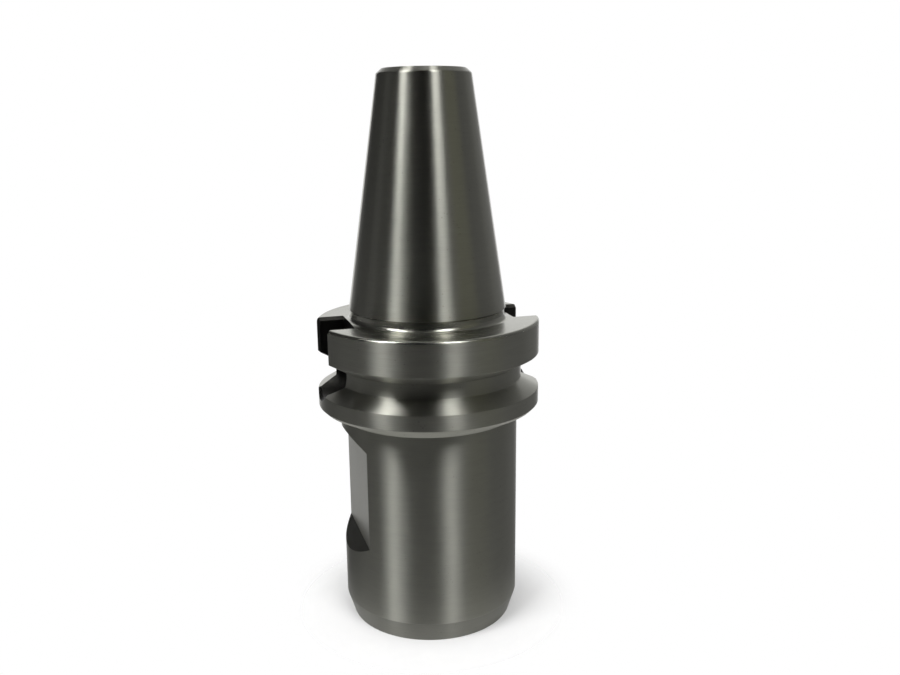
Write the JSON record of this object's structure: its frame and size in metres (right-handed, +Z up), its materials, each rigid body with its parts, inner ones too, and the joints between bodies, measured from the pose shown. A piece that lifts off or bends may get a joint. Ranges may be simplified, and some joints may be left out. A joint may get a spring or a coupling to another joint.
{
  "type": "side lock end mill holder",
  "caption": "Steep-taper machining-centre holder whose straight bore clamps an end mill's shank with set screws pressed on its side flats.",
  "frame": {"origin": "centre of the nose face, on which the holder stands", "axes": "+Z up the axis to the taper's small end, drive slots along X, balance flat towards -X, set screws towards +X"},
  "size_m": [0.063, 0.063, 0.1558],
  "materials": {
    "ground_steel": "hardened alloy steel, taper and flange ground bright, nose satin ground",
    "black_oxide_steel": "black oxide, slightly oily"
  },
  "bodies": {
    "holder": {"holder_body": "ground_steel"},
    "front_screw": {"front_set_screw": "black_oxide_steel"},
    "rear_screw": {"rear_set_screw": "black_oxide_steel"}
  },
  "joints": [
    {"name": "front_screw_travel", "type": "slide", "parent": "holder", "child": "front_screw", "axis": [-1, 0, 0], "range_m": [-0.00794, 0.00159]},
    {"name": "rear_screw_travel", "type": "slide", "parent": "holder", "child": "rear_screw", "axis": [-1, 0, 0], "range_m": [-0.00794, 0.00159]}
  ]
}
